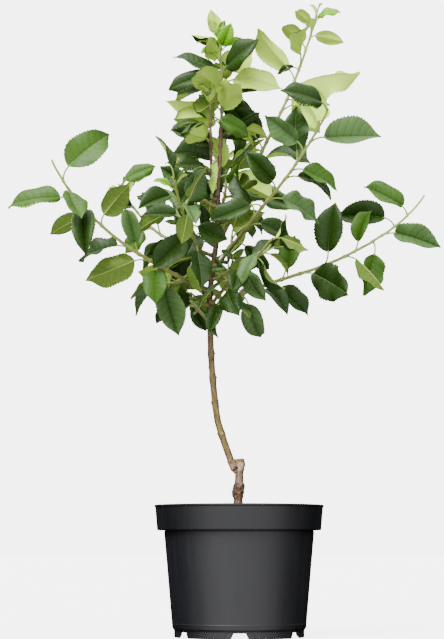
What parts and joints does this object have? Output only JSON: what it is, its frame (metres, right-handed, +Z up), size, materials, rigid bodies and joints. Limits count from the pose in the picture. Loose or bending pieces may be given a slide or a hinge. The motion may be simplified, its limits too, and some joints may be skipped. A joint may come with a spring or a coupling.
{
  "type": "potted jonagold apple tree",
  "caption": "Young grafted fruit tree with a slender bent trunk, a cut rootstock stub and an airy leafy crown, growing in soil in a tapered black nursery pot with a deep collar.",
  "frame": {"origin": "on the ground at the pot's axis, which is the middle of the whole plant's width and depth to a few millimetres", "axes": "+Z up along the plant's height, +X to the right as seen from the front, and the front looks along +Y"},
  "size_m": [0.5849, 0.4358, 0.9018],
  "materials": {
    "black_plastic": "satin black plastic",
    "potting_soil": "crumbly dark potting soil",
    "bark": "young living bark",
    "leaf_green": "satin living leaf"
  },
  "bodies": {
    "root": {"pot": "black_plastic", "soil": "potting_soil", "trunk": "bark", "bough_left_low": "bark", "bough_left_mid": "bark", "bough_right_low": "bark", "bough_right_mid": "bark", "bough_right_upright": "bark", "bough_front_high": "bark", "bough_front_low": "bark", "bough_back_high": "bark", "bough_back_low": "bark", "bough_leader": "bark", "bough_second_leader": "bark", "leaves_left_low": "leaf_green", "leaves_left_mid": "leaf_green", "leaves_right_low": "leaf_green", "leaves_right_mid": "leaf_green", "leaves_right_upright": "leaf_green", "leaves_front_high": "leaf_green", "leaves_front_low": "leaf_green", "leaves_back_high": "leaf_green", "leaves_back_low": "leaf_green", "leaves_leader": "leaf_green", "leaves_second_leader": "leaf_green", "leaves_spur_low_front": "leaf_green", "leaves_spur_low_left": "leaf_green", "leaves_spur_mid_right": "leaf_green", "leaves_spur_mid_left": "leaf_green", "leaves_spur_high_right": "leaf_green", "leaves_spur_high_left": "leaf_green"}
  },
  "joints": []
}
